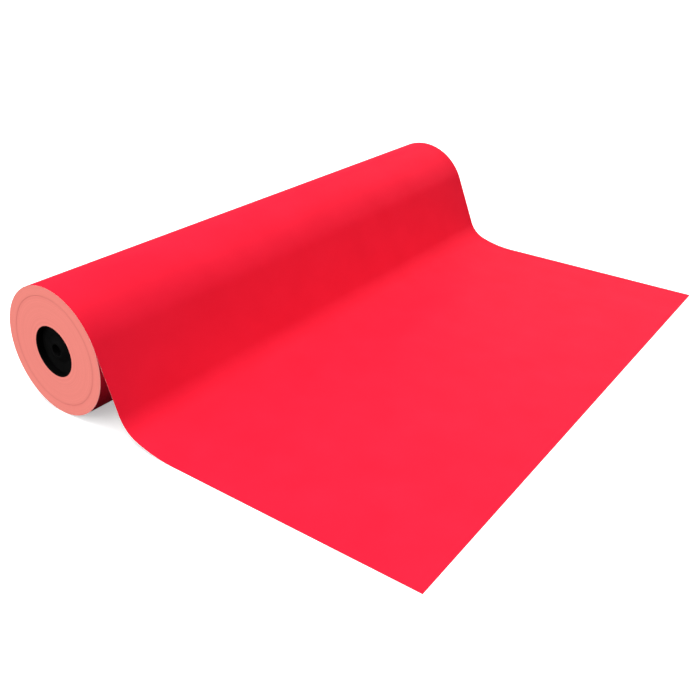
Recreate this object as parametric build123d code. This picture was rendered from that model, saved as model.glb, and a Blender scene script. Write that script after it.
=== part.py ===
from build123d import *
from math import cos, radians, sin
import os

# A roll of sign vinyl lies on a flat surface, with its free end pulled out to the front.
# Units are millimetres. +X runs along the roll, -Y is the way the web is pulled, +Z is up.
# The surface is Z = 0 and the origin is the middle of the whole object's footprint.

# Web: a face film with its adhesive, on a paper release liner
WEB_WIDTH = 1000.0
FILM_THICKNESS = 0.10
LINER_THICKNESS = 0.15
WEB_THICKNESS = FILM_THICKNESS + LINER_THICKNESS

# Roll
ROLL_RADIUS = 102.0
WINDING_RING_RADIUS = 85.5
TURN_CLEARANCE = 0.3
PACK_RADIUS = ROLL_RADIUS - WEB_THICKNESS - TURN_CLEARANCE

# Core, the standard 3 inch bore
CORE_BORE_RADIUS = 38.1
CORE_WALL = 2.0
CORE_RADIUS = CORE_BORE_RADIUS + CORE_WALL
CORE_EDGE_CHAMFER = 0.4

# Core plugs, measured along the axis from the core's mouth
PLUG_RADIUS = CORE_BORE_RADIUS - 0.05
DISC_DEPTH = 9.8
DISC_THICKNESS = 3.0
SKIRT_LENGTH = 30.0
SKIRT_WALL = 2.5
HUB_DEPTH = 5.0
HUB_RADIUS = 11.5
BOSS_RADIUS = 22.0
SPINDLE_RADIUS = 9.5
RIB_COUNT = 6
RIB_THICKNESS = 2.0
RIB_SETBACK = 4.0

# Path of the web's top face: it leaves the roll, hangs straight, bends and lies down flat
LEAVE_ANGLE = 68.8
LANDING_ANGLE = 18.3
BEND_RADIUS = 52.5
LANDING_RADIUS = 226.5
FREE_END_REACH = 637.0
SLIT_ANGLE = 6.0

AXIS_Y = (FREE_END_REACH - ROLL_RADIUS) / 2
AXIS_Z = ROLL_RADIUS
ROLL_AXIS = Vector(AXIS_Y, AXIS_Z)
HALF_WIDTH = WEB_WIDTH / 2


def along(angle):
    """Which way the web runs where it slopes down by this angle, as (Y, Z)."""
    return Vector(-cos(radians(angle)), -sin(radians(angle)))


def above(angle):
    """The web's upward normal where it slopes down by this angle, as (Y, Z)."""
    return Vector(-sin(radians(angle)), cos(radians(angle)))


def hang_length():
    """The straight length that brings the web down onto the surface."""
    drop = ROLL_RADIUS * (1 + cos(radians(LEAVE_ANGLE))) - WEB_THICKNESS
    drop -= BEND_RADIUS * (cos(radians(LANDING_ANGLE)) - cos(radians(LEAVE_ANGLE)))
    drop -= LANDING_RADIUS * (1 - cos(radians(LANDING_ANGLE)))
    return drop / sin(radians(LEAVE_ANGLE))


LEAVE_POINT = ROLL_AXIS + above(LEAVE_ANGLE) * ROLL_RADIUS
HANG_END = LEAVE_POINT + along(LEAVE_ANGLE) * hang_length()
BEND_CENTRE = HANG_END + above(LEAVE_ANGLE) * BEND_RADIUS
BEND_END = BEND_CENTRE - above(LANDING_ANGLE) * BEND_RADIUS
LANDING_CENTRE = BEND_END + above(LANDING_ANGLE) * LANDING_RADIUS
LANDING_Y = LANDING_CENTRE.X
FREE_END_Y = AXIS_Y - FREE_END_REACH


def across_width(edges):
    """The solid with this outline in the YZ plane, over the whole width of the web."""
    outline = Plane.YZ.offset(-HALF_WIDTH) * make_face(edges)
    return extrude(outline, WEB_WIDTH)


def bend(centre, radius, start, end):
    """An arc of the web from one slope to another, about a centre above it."""
    points = [centre - above(a) * radius for a in (start, (start + end) / 2, end)]
    return ThreePointArc(*points)


def hanging_layer(top, bottom):
    """A layer of the web from the roll to the surface, between two depths below its top face."""
    edges = []
    for depth in (top, bottom):
        leave = ROLL_AXIS + above(LEAVE_ANGLE) * (ROLL_RADIUS - depth)
        edges.append(Line(leave, leave + along(LEAVE_ANGLE) * hang_length()))
        edges.append(bend(BEND_CENTRE, BEND_RADIUS + depth, LEAVE_ANGLE, LANDING_ANGLE))
        edges.append(bend(LANDING_CENTRE, LANDING_RADIUS + depth, LANDING_ANGLE, 0))
    edges.append(Line(edges[0] @ 0, edges[3] @ 0))
    edges.append(Line(edges[2] @ 1, edges[5] @ 1))
    return across_width(edges)


def flat_layer(bottom, thickness):
    """A layer of the web that lies flat, from where it lands to its free end."""
    length = LANDING_Y - FREE_END_Y
    centre = (0, (LANDING_Y + FREE_END_Y) / 2, bottom + thickness / 2)
    return Pos(*centre) * Box(WEB_WIDTH, length, thickness)


def outermost_turn():
    """The last turn on the roll, film and liner together, up to where the web leaves."""
    tail = LEAVE_ANGLE - 360 + SLIT_ANGLE
    angles = (LEAVE_ANGLE, (LEAVE_ANGLE + tail) / 2, tail)
    arcs = []
    for radius in (ROLL_RADIUS, ROLL_RADIUS - WEB_THICKNESS):
        arcs.append(ThreePointArc(*[ROLL_AXIS + above(a) * radius for a in angles]))
    ends = [Line(arcs[0] @ end, arcs[1] @ end) for end in (0, 1)]
    return across_width(arcs + ends)


def round_bar(radius, start, end):
    """A cylinder on the roll's axis between two X positions."""
    centre = ((start + end) / 2, AXIS_Y, AXIS_Z)
    return Location(centre, (0, 90, 0)) * Cylinder(radius, end - start)


def sleeve(inner, outer, start, end):
    """A tube on the roll's axis between two X positions."""
    return round_bar(outer, start, end) - round_bar(inner, start, end)


def core_tube():
    """The tube that the web is wound on."""
    tube = sleeve(CORE_BORE_RADIUS, CORE_RADIUS, -HALF_WIDTH, HALF_WIDTH)
    rims = [
        edge
        for edge in tube.edges().filter_by(GeomType.CIRCLE)
        if edge.radius < CORE_BORE_RADIUS + CORE_WALL / 2
    ]
    return chamfer(rims, CORE_EDGE_CHAMFER)


def left_plug():
    """A moulded plug: a disc with a skirt and ribs inwards, and a hub in a low conical boss."""
    face = DISC_DEPTH - HALF_WIDTH
    back = face + DISC_THICKNESS
    inner_end = back + SKIRT_LENGTH
    hub_face = HUB_DEPTH - HALF_WIDTH
    boss = Cone(HUB_RADIUS, BOSS_RADIUS, face - hub_face)
    boss_centre = ((hub_face + face) / 2, AXIS_Y, AXIS_Z)
    plug = round_bar(PLUG_RADIUS, face, back) + Location(boss_centre, (0, 90, 0)) * boss
    plug += round_bar(HUB_RADIUS, hub_face, inner_end)
    plug += sleeve(PLUG_RADIUS - SKIRT_WALL, PLUG_RADIUS, face, inner_end)
    first = HUB_RADIUS - 1
    last = PLUG_RADIUS - 1
    rib_length = inner_end - RIB_SETBACK - face
    rib = Box(rib_length, RIB_THICKNESS, last - first)
    for number in range(RIB_COUNT):
        turned = Rot(360 * number / RIB_COUNT, 0, 0) * Pos(0, 0, (first + last) / 2) * rib
        plug += Pos(face + rib_length / 2, AXIS_Y, AXIS_Z) * turned
    return plug - round_bar(SPINDLE_RADIUS, hub_face, inner_end)


plug = left_plug()
parts = {
    "outermost_turn": outermost_turn(),
    "hanging_film": hanging_layer(0, FILM_THICKNESS),
    "hanging_liner": hanging_layer(FILM_THICKNESS, WEB_THICKNESS),
    "flat_film": flat_layer(LINER_THICKNESS, FILM_THICKNESS),
    "flat_liner": flat_layer(0, LINER_THICKNESS),
    "wound_turns_outer": sleeve(WINDING_RING_RADIUS, PACK_RADIUS, -HALF_WIDTH, HALF_WIDTH),
    "wound_turns_inner": sleeve(CORE_RADIUS, WINDING_RING_RADIUS, -HALF_WIDTH, HALF_WIDTH),
    "core_tube": core_tube(),
    "left_core_plug": plug,
    "right_core_plug": mirror(plug, about=Plane.YZ),
}

os.makedirs("parts", exist_ok=True)
for name, shape in parts.items():
    shape.label = name
    export_step(shape, f"parts/{name}.step")
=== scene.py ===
from math import ceil, cos, pi, radians, sin

import bmesh
import bpy
from mathutils import Matrix, Vector, noise

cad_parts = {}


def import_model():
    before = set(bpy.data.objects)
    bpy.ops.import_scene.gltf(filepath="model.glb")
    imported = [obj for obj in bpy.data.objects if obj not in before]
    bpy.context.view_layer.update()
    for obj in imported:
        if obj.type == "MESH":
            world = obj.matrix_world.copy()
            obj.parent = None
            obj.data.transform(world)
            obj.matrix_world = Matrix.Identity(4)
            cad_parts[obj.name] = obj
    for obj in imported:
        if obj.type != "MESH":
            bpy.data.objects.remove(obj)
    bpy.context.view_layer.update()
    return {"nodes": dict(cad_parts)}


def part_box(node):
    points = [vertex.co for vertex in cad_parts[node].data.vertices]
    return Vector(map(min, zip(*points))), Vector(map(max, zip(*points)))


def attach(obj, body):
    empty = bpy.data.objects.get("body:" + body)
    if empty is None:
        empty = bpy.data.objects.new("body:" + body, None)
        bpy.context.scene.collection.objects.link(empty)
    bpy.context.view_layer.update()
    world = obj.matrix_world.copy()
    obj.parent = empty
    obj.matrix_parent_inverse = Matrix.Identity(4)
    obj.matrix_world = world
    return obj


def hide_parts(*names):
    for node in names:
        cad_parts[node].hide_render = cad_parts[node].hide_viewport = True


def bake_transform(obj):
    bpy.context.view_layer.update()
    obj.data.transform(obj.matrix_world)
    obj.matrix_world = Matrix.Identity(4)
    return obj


# A roll of red sign vinyl on a pale surface, with its free end pulled out to the front.
# Metres, in the frame of the CAD model: +X along the roll, -Y the way the web is pulled.

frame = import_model()

# ---------------------------------------------------------------- sizes

# The web is a red film on a liner.
FILM_THICKNESS = 0.00010
LINER_THICKNESS = 0.00015
WEB_THICKNESS = FILM_THICKNESS + LINER_THICKNESS

# Where the web slopes down by the leave angle it comes off the roll and hangs straight. It bends
# until it slopes by the landing angle, and lands on a larger arc. The outermost turn goes once
# round and a tuck angle further, so its start lies under its own end.
LEAVE_ANGLE = radians(68.8)
LANDING_ANGLE = radians(18.3)
BEND_RADIUS = 0.0525
LANDING_RADIUS = 0.2265
TUCK_ANGLE = radians(8)

# The roll, the pack of turns inside its outermost one, the ring on the wound end, and the core.
# The ring is a shallow groove, and painted shade darkens the end along it.
ROLL_RADIUS = 0.102
PACK_RADIUS = 0.10145
RING_RADIUS = 0.0855
CORE_RADIUS = 0.0401
GROOVE_DEPTH = 0.0003
GROOVE_WIDTH = 0.0012
GAP_SHADE_WIDTH = 0.0024

# How the edges of the turns wander in and out and change colour: waves per metre of radius, and
# the height of the waves, which die out this near to a sleeve's inner and outer wall.
SLOW_WAVES = 60
SLOW_HEIGHT = 0.00008
FINE_WAVES = 700
FINE_HEIGHT = 0.00003
LEVEL_MARGIN = 0.002
COLOUR_WAVES = 320

turn_low, turn_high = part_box("outermost_turn")
free_low, free_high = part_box("flat_film")

LEFT_X = turn_low.x
RIGHT_X = turn_high.x
LANDING_Y = free_high.y
FREE_END_Y = free_low.y
AXIS_TO_FREE_END = 0.637
AXIS_Y = FREE_END_Y + AXIS_TO_FREE_END
AXIS_Z = ROLL_RADIUS

# ---------------------------------------------------------------- colours

FILM_DEEP = (0.90, 0.0138, 0.0412)
FILM_BRIGHT = (0.94, 0.0161, 0.0462)
LINER_DEEP = (0.80, 0.79, 0.75)
LINER_BRIGHT = (0.88, 0.87, 0.84)
EDGE_DEEP = (0.785, 0.219, 0.186)
EDGE_MIDDLE = (0.825, 0.239, 0.202)
EDGE_BRIGHT = (0.865, 0.263, 0.225)
# Painted shade: the colour the wound end darkens to along the ring's groove.
EDGE_GAP_SHADE = (0.705, 0.190, 0.164)
# Painted shade: the core's black is darker than the plugs' same plastic, to deepen its wall seen in shade
# at the roll's end.
CORE_SHADE_DEEP = (0.002, 0.002, 0.002)
CORE_SHADE_BRIGHT = (0.003, 0.003, 0.003)
PLUG_DEEP = (0.003, 0.003, 0.003)
PLUG_BRIGHT = (0.0045, 0.0045, 0.0045)
FLOOR_COLOUR = (0.95, 0.95, 0.95)
FLOOR_GLOW = 0.4
WHITE = (1.0, 1.0, 1.0, 1.0)


# ---------------------------------------------------------------- helpers


def steps(start, end, count):
    """Evenly spaced values from start to end, both included."""
    return [start + (end - start) * k / count for k in range(count + 1)]


def new_piece(name, vertices, faces, material):
    """A mesh object with one material."""
    mesh = bpy.data.meshes.new(name)
    mesh.from_pydata(vertices, [], faces)
    mesh.validate()
    cleaner = bmesh.new()
    cleaner.from_mesh(mesh)
    bmesh.ops.recalc_face_normals(cleaner, faces=cleaner.faces)
    cleaner.to_mesh(mesh)
    cleaner.free()
    piece = bpy.data.objects.new(name, mesh)
    bpy.context.scene.collection.objects.link(piece)
    mesh.materials.append(material)
    return piece


def smooth_by_angle(piece, angle):
    """Smooth shading, with edges sharper than this angle left sharp."""
    mesh = piece.data
    for face in mesh.polygons:
        face.use_smooth = True
    mesh.set_sharp_from_angle(angle=angle)


# ---------------------------------------------------------------- materials


class Nodes:
    """A material's node tree, with short ways to add to it."""

    def __init__(self, name):
        self.material = bpy.data.materials.new(name)
        self.material.use_nodes = True
        self.tree = self.material.node_tree
        self.shader = self.tree.nodes["Principled BSDF"]

    def add(self, kind, **settings):
        """A new node of a kind, with its settings."""
        node = self.tree.nodes.new(kind)
        for name, value in settings.items():
            setattr(node, name, value)
        return node

    def link(self, source, target):
        self.tree.links.new(source, target)

    def set(self, name, value):
        """A value that is the same all over, on the shader's own socket."""
        self.shader.inputs[name].default_value = value

    def drive(self, name, source):
        """A value that varies over the surface, linked to the shader's socket."""
        self.link(source, self.shader.inputs[name])

    def math(self, operation, first, second=None):
        """One step of arithmetic on sockets and numbers."""
        node = self.add("ShaderNodeMath", operation=operation)
        for socket, value in zip(node.inputs, (first, second)):
            if isinstance(value, (int, float)):
                socket.default_value = value
            elif value is not None:
                self.link(value, socket)
        return node.outputs[0]

    def place(self):
        """The point on the object, in metres."""
        return self.add("ShaderNodeTexCoord").outputs["Object"]

    def noise(self, vector, scale, detail=2.0, roughness=0.5):
        """Cloudy values from 0 to 1, finer as the scale goes up."""
        node = self.add("ShaderNodeTexNoise")
        node.inputs["Scale"].default_value = scale
        node.inputs["Detail"].default_value = detail
        node.inputs["Roughness"].default_value = roughness
        self.link(vector, node.inputs["Vector"])
        return node.outputs["Fac"]

    def stretched(self, vector, scale):
        """A place scaled along each axis, so that noise there is drawn out along the small ones."""
        node = self.add("ShaderNodeMapping")
        node.inputs["Scale"].default_value = scale
        self.link(vector, node.inputs["Vector"])
        return node.outputs["Vector"]

    def ramp(self, value, stops):
        """A colour for each value, from stops of (value, colour)."""
        node = self.add("ShaderNodeValToRGB")
        elements = node.color_ramp.elements
        for element, (position, colour) in zip(elements, (stops[0], stops[-1])):
            element.position = position
            element.color = (*colour, 1.0)
        for position, colour in stops[1:-1]:
            element = elements.new(position)
            element.color = (*colour, 1.0)
        self.link(value, node.inputs["Fac"])
        return node.outputs["Color"]

    def mixed(self, share, first, colour):
        """The first colour, turned into another as the share goes from 0 to 1."""
        node = self.add("ShaderNodeMixRGB")
        node.inputs["Color2"].default_value = (*colour, 1.0)
        self.link(share, node.inputs["Fac"])
        self.link(first, node.inputs["Color1"])
        return node.outputs["Color"]

    def span(self, value, low, high):
        """A 0 to 1 value as one from low to high."""
        node = self.add("ShaderNodeMapRange")
        node.inputs["To Min"].default_value = low
        node.inputs["To Max"].default_value = high
        self.link(value, node.inputs["Value"])
        return node.outputs["Result"]

    def bump(self, height, distance, strength):
        """Relief over the whole surface, as deep as the distance for a height of 1."""
        node = self.add("ShaderNodeBump")
        node.inputs["Distance"].default_value = distance
        node.inputs["Strength"].default_value = strength
        self.link(height, node.inputs["Height"])
        self.drive("Normal", node.outputs["Normal"])


def film_material():
    """Calendered red vinyl: matt, with fine orange peel and faint bands along the web."""
    look = Nodes("red_film")
    place = look.place()
    mottle = look.noise(place, scale=14.0, detail=3.0)
    look.drive("Base Color", look.ramp(mottle, [(0.3, FILM_DEEP), (0.7, FILM_BRIGHT)]))
    bands = look.noise(look.stretched(place, (30.0, 1.2, 1.2)), scale=1.0)
    look.drive("Roughness", look.span(bands, low=0.42, high=0.52))
    peel = look.noise(place, scale=900.0)
    look.bump(peel, distance=0.00001, strength=0.5)
    look.set("Specular IOR Level", 0.03)
    return look.material


def liner_material():
    """Coated white paper, with its fibres along the roll."""
    look = Nodes("release_liner")
    place = look.stretched(look.place(), (1.0, 3.0, 3.0))
    fibres = look.noise(place, scale=160.0, detail=4.0, roughness=0.7)
    look.drive("Base Color", look.ramp(fibres, [(0.3, LINER_DEEP), (0.7, LINER_BRIGHT)]))
    look.drive("Roughness", look.span(fibres, low=0.5, high=0.62))
    look.bump(fibres, distance=0.00003, strength=0.6)
    look.set("Specular IOR Level", 0.3)
    return look.material


def wound_edge_material():
    """The edges of hundreds of turns, in a spiral, with painted shade along the ring's groove."""
    look = Nodes("wound_edge")
    split = look.add("ShaderNodeSeparateXYZ")
    look.link(look.place(), split.inputs[0])
    across = look.math("SUBTRACT", split.outputs["Y"], AXIS_Y)
    up = look.math("SUBTRACT", split.outputs["Z"], AXIS_Z)
    squares = look.math("ADD", look.math("MULTIPLY", across, across), look.math("MULTIPLY", up, up))
    radius = look.math("SQRT", squares)
    turned = look.math("MULTIPLY", look.math("ARCTAN2", across, up), WEB_THICKNESS / (2 * pi))
    spiral = look.math("ADD", radius, turned)
    lines = look.add("ShaderNodeTexNoise", noise_dimensions="1D")
    lines.inputs["Scale"].default_value = 1.0
    lines.inputs["Detail"].default_value = 4.0
    lines.inputs["Roughness"].default_value = 0.75
    look.link(look.math("MULTIPLY", spiral, COLOUR_WAVES), lines.inputs["W"])
    stops = [(0.25, EDGE_DEEP), (0.55, EDGE_MIDDLE), (0.8, EDGE_BRIGHT)]
    turns = look.ramp(lines.outputs["Fac"], stops)
    # Painted shade: near the ring the end darkens towards the gap colour, as the groove's shadow would.
    away = look.math("ABSOLUTE", look.math("SUBTRACT", radius, RING_RADIUS))
    outside = look.math("DIVIDE", away, GAP_SHADE_WIDTH)
    gap_shade = look.math("MAXIMUM", look.math("SUBTRACT", 1.0, outside), 0.0)
    look.drive("Base Color", look.mixed(gap_shade, turns, EDGE_GAP_SHADE))
    look.drive("Roughness", look.span(lines.outputs["Fac"], low=0.55, high=0.7))
    look.bump(lines.outputs["Fac"], distance=0.0001, strength=0.5)
    look.set("Specular IOR Level", 0.2)
    return look.material


def plastic_material(name, deep, bright, roughness, grain):
    """Black plastic with a fine moulded grain."""
    look = Nodes(name)
    place = look.place()
    clouds = look.noise(place, scale=60.0, detail=3.0)
    look.drive("Base Color", look.ramp(clouds, [(0.3, deep), (0.7, bright)]))
    fine = look.noise(place, scale=grain)
    look.drive("Roughness", look.span(fine, low=roughness - 0.06, high=roughness + 0.06))
    look.bump(fine, distance=0.00004, strength=0.6)
    look.set("Specular IOR Level", 0.06)
    return look.material


red_film = film_material()
liner = liner_material()
wound_edge = wound_edge_material()
# The core's colours carry painted shade for its wall at the roll's end.
core_plastic = plastic_material("core_plastic", CORE_SHADE_DEEP, CORE_SHADE_BRIGHT, roughness=0.55, grain=1500.0)
plug_plastic = plastic_material("plug_plastic", PLUG_DEEP, PLUG_BRIGHT, roughness=0.6, grain=1200.0)


# ---------------------------------------------------------------- the web

# How finely each part of the web is divided, and how many columns there are along the roll.
TURN_STEPS = 240
HANG_STEPS = 14
BEND_STEPS = 26
LANDING_STEPS = 18
FLAT_STEPS = 48
COLUMNS = 60


def above(angle):
    """The web's upward normal where it slopes down by this angle, as (Y, Z)."""
    return Vector((-sin(angle), cos(angle)))


def along(angle):
    """Which way the web runs where it slopes down by this angle, as (Y, Z)."""
    return Vector((-cos(angle), -sin(angle)))


def hanging_length():
    """The straight part's length: it goes down by what the two arcs leave of the height."""
    drop = ROLL_RADIUS * (1 + cos(LEAVE_ANGLE)) - WEB_THICKNESS
    drop -= BEND_RADIUS * (cos(LANDING_ANGLE) - cos(LEAVE_ANGLE))
    drop -= LANDING_RADIUS * (1 - cos(LANDING_ANGLE))
    return drop / sin(LEAVE_ANGLE)


def turn_line():
    """The outermost turn's top face as (point, slope), from its tucked start to where it leaves."""
    axis = Vector((AXIS_Y, AXIS_Z))
    line = []
    for angle in steps(LEAVE_ANGLE - 2 * pi - TUCK_ANGLE, LEAVE_ANGLE, TURN_STEPS):
        sunk = WEB_THICKNESS * (LEAVE_ANGLE - angle) / (2 * pi)
        line.append((axis + above(angle) * (ROLL_RADIUS - sunk), angle))
    return line


def arc_line(start, radius, from_angle, to_angle, count):
    """An arc that bends up out of the slope it starts with, without its first point."""
    centre = start + above(from_angle) * radius
    angles = steps(from_angle, to_angle, count)[1:]
    return [(centre - above(angle) * radius, angle) for angle in angles]


def web_line():
    """The web's top face from under the roll's last turn to the free end, as (point, slope)."""
    line = turn_line()
    leave = line[-1][0]
    for distance in steps(0, hanging_length(), HANG_STEPS)[1:]:
        line.append((leave + along(LEAVE_ANGLE) * distance, LEAVE_ANGLE))
    line += arc_line(line[-1][0], BEND_RADIUS, LEAVE_ANGLE, LANDING_ANGLE, BEND_STEPS)
    line += arc_line(line[-1][0], LANDING_RADIUS, LANDING_ANGLE, 0, LANDING_STEPS)
    for y in steps(LANDING_Y, FREE_END_Y, FLAT_STEPS)[1:]:
        line.append((Vector((y, WEB_THICKNESS)), 0.0))
    return line


WEB_LINE = web_line()


def layer_points(top, bottom):
    """Rows of points along the roll, for a layer's top face and then for its bottom face."""
    points = []
    for depth in (top, bottom):
        for point, slope in WEB_LINE:
            inner = point - above(slope) * depth
            for x in steps(LEFT_X, RIGHT_X, COLUMNS):
                points.append((x, inner.x, inner.y))
    return points


def layer_faces():
    """The two faces of a layer, its two side edges and its two cut ends."""
    rows = len(WEB_LINE)
    wide = COLUMNS + 1
    under = rows * wide
    faces = []
    for row in range(rows - 1):
        for column in range(COLUMNS):
            a = row * wide + column
            faces.append((a, a + 1, a + 1 + wide, a + wide))
            faces.append((under + a, under + a + wide, under + a + 1 + wide, under + a + 1))
    for row in range(rows - 1):
        for column in (0, COLUMNS):
            a = row * wide + column
            faces.append((a, a + wide, under + a + wide, under + a))
    for column in range(COLUMNS):
        for row in (0, rows - 1):
            a = row * wide + column
            faces.append((a, under + a, under + a + 1, a + 1))
    return faces


def web_layer(name, top, bottom, material):
    """One layer of the web as a closed sheet, between two depths below the web's top face."""
    piece = new_piece(name, layer_points(top, bottom), layer_faces(), material)
    smooth_by_angle(piece, radians(40))
    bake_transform(piece)
    return piece


film = web_layer("vinyl_film", 0, FILM_THICKNESS, red_film)
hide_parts("outermost_turn", "hanging_film", "flat_film")

liner_sheet = web_layer("release_liner", FILM_THICKNESS, WEB_THICKNESS, liner)
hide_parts("hanging_liner", "flat_liner")


# ---------------------------------------------------------------- the wound turns

# How finely the ends are divided, round the roll and outwards.
SPOKES = 240
RING_PITCH = 0.0005


def turn_height(radius, angle, seed):
    """How far the edge of a turn stands proud of the roll's end, as the winding wandered."""
    wound = radius + WEB_THICKNESS * angle / (2 * pi)
    slow = noise.noise(Vector((wound * SLOW_WAVES, seed, 0.0))) * SLOW_HEIGHT
    fine = noise.noise(Vector((wound * FINE_WAVES, seed + 7, 0.0))) * FINE_HEIGHT
    return slow + fine


def groove(radius):
    """How deep the end lies at the ring, where the two sleeves meet."""
    return GROOVE_DEPTH * max(0.0, 1 - abs(radius - RING_RADIUS) / GROOVE_WIDTH)


def sleeve_points(inner, outer, radii):
    """Rings of points over the left end, from the inner radius out, and then over the right end."""
    points = []
    for side, x in ((-1, LEFT_X), (1, RIGHT_X)):
        for radius in radii:
            level = min(1.0, min(radius - inner, outer - radius) / LEVEL_MARGIN)
            for k in range(SPOKES):
                angle = 2 * pi * k / SPOKES
                proud = turn_height(radius, angle * side, 3 * side) * level - groove(radius)
                place = Vector((AXIS_Y, AXIS_Z)) + above(angle) * radius
                points.append((x + side * proud, place.x, place.y))
    return points


def sleeve_faces(rings):
    """The sleeve's two ends, and then its inner and outer walls."""
    across = rings * SPOKES
    faces = []
    for first in (0, across):
        for ring in range(rings - 1):
            for k in range(SPOKES):
                a = first + ring * SPOKES + k
                b = first + ring * SPOKES + (k + 1) % SPOKES
                faces.append((a, b, b + SPOKES, a + SPOKES))
    for ring in (0, rings - 1):
        for k in range(SPOKES):
            a = ring * SPOKES + k
            b = ring * SPOKES + (k + 1) % SPOKES
            faces.append((a, b, b + across, a + across))
    return faces


def wound_sleeve(name, inner, outer, node):
    """A sleeve of wound web whose two ends show the edges of its turns."""
    radii = steps(inner, outer, ceil((outer - inner) / RING_PITCH))
    points = sleeve_points(inner, outer, radii)
    piece = new_piece(name, points, sleeve_faces(len(radii)), wound_edge)
    smooth_by_angle(piece, radians(50))
    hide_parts(node)
    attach(piece, "roll")


wound_sleeve("wound_turns_outer_edges", RING_RADIUS, PACK_RADIUS, "wound_turns_outer")
wound_sleeve("wound_turns_inner_edges", CORE_RADIUS, RING_RADIUS, "wound_turns_inner")


# ---------------------------------------------------------------- core and plugs


def give_material(node, material):
    """A CAD node keeps its shape and takes a better material."""
    carried = frame["nodes"][node]
    carried.data.materials.clear()
    carried.data.materials.append(material)


give_material("core_tube", core_plastic)
give_material("left_core_plug", plug_plastic)
give_material("right_core_plug", plug_plastic)


# ---------------------------------------------------------------- floor, light and camera


def floor():
    """A plain pale floor, just under the web. It glows a little, which softens the shadow on it."""
    look = Nodes("floor")
    look.set("Base Color", (*FLOOR_COLOUR, 1.0))
    look.set("Roughness", 0.9)
    look.set("Specular IOR Level", 0.0)
    look.set("Emission Color", WHITE)
    look.set("Emission Strength", FLOOR_GLOW)
    half = 12.0
    height = -0.0002
    corners = [(-half, -half, height), (half, -half, height), (half, half, height), (-half, half, height)]
    mesh = bpy.data.meshes.new("floor")
    mesh.from_pydata(corners, [], [(0, 1, 2, 3)])
    mesh.materials.append(look.material)
    plane = bpy.data.objects.new("floor", mesh)
    bpy.context.scene.collection.objects.link(plane)
    plane.visible_diffuse = False
    plane.visible_glossy = False


def far_light(name, direction, strength, glossy):
    """Light from one side, as even as from far away, from a patch of sky 60 degrees wide.

    A fill that isn't glossy lights the surfaces and leaves no glare on them.
    """
    lamp = bpy.data.lights.new(name, "SUN")
    lamp.energy = strength
    lamp.angle = radians(60)
    holder = bpy.data.objects.new(name, lamp)
    bpy.context.scene.collection.objects.link(holder)
    holder.location = direction
    holder.rotation_euler = (-holder.location).to_track_quat("-Z", "Y").to_euler()
    holder.visible_glossy = glossy


def world(above_horizon, below_horizon, seen):
    """Even light from the sky, less of it from below, and a white background."""
    surroundings = bpy.data.worlds.new("surroundings")
    bpy.context.scene.world = surroundings
    surroundings.use_nodes = True
    tree = surroundings.node_tree
    background = tree.nodes["Background"]
    backdrop = tree.nodes.new("ShaderNodeBackground")
    mix = tree.nodes.new("ShaderNodeMixShader")
    path = tree.nodes.new("ShaderNodeLightPath")
    direction = tree.nodes.new("ShaderNodeTexCoord")
    split = tree.nodes.new("ShaderNodeSeparateXYZ")
    height = tree.nodes.new("ShaderNodeMapRange")
    height.inputs["From Min"].default_value = -0.05
    height.inputs["From Max"].default_value = 0.05
    height.inputs["To Min"].default_value = below_horizon
    height.inputs["To Max"].default_value = above_horizon
    background.inputs["Color"].default_value = WHITE
    backdrop.inputs["Color"].default_value = WHITE
    backdrop.inputs["Strength"].default_value = seen
    tree.links.new(direction.outputs["Generated"], split.inputs[0])
    tree.links.new(split.outputs["Z"], height.inputs["Value"])
    tree.links.new(height.outputs["Result"], background.inputs["Strength"])
    tree.links.new(path.outputs["Is Camera Ray"], mix.inputs[0])
    tree.links.new(background.outputs[0], mix.inputs[1])
    tree.links.new(backdrop.outputs[0], mix.inputs[2])
    tree.links.new(mix.outputs[0], tree.nodes["World Output"].inputs["Surface"])


def camera(place, azimuth, elevation, roll):
    """A camera at a place, looking along +Y at azimuth 0, and turned about its own axis by the roll."""
    lens = bpy.data.cameras.new("camera")
    lens.lens = 44.197
    lens.sensor_width = 36.0
    lens.shift_x = -0.0642
    lens.shift_y = -0.0865
    lens.clip_start = 0.01
    holder = bpy.data.objects.new("camera", lens)
    bpy.context.scene.collection.objects.link(holder)
    back = Vector((
        sin(azimuth) * cos(elevation),
        -cos(azimuth) * cos(elevation),
        sin(elevation),
    ))
    level = Vector((cos(azimuth), sin(azimuth), 0.0))
    upright = back.cross(level)
    right = level * cos(roll) + upright * sin(roll)
    up = upright * cos(roll) - level * sin(roll)
    turned = Matrix((right, up, back)).transposed()
    holder.matrix_world = Matrix.Translation(place) @ turned.to_4x4()
    bpy.context.scene.camera = holder


floor()
world(above_horizon=0.18, below_horizon=0.02, seen=1.0)
far_light("overhead", (0.0, -0.08, 3.0), strength=2.1, glossy=True)
far_light("left_fill", (-0.96, 0.07, 0.26), strength=3.3, glossy=False)
far_light("right_fill", (0.97, 0.02, 0.20), strength=2.1, glossy=False)
far_light("back_fill", (-0.40, 0.85, 0.45), strength=0.9, glossy=False)

# From low over the front left corner, with the roll's left end nearest.
camera((-1.13674, -0.74247, 0.71107), radians(-56.520), radians(24.493), radians(1.518))
bpy.context.scene.view_settings.view_transform = "Standard"
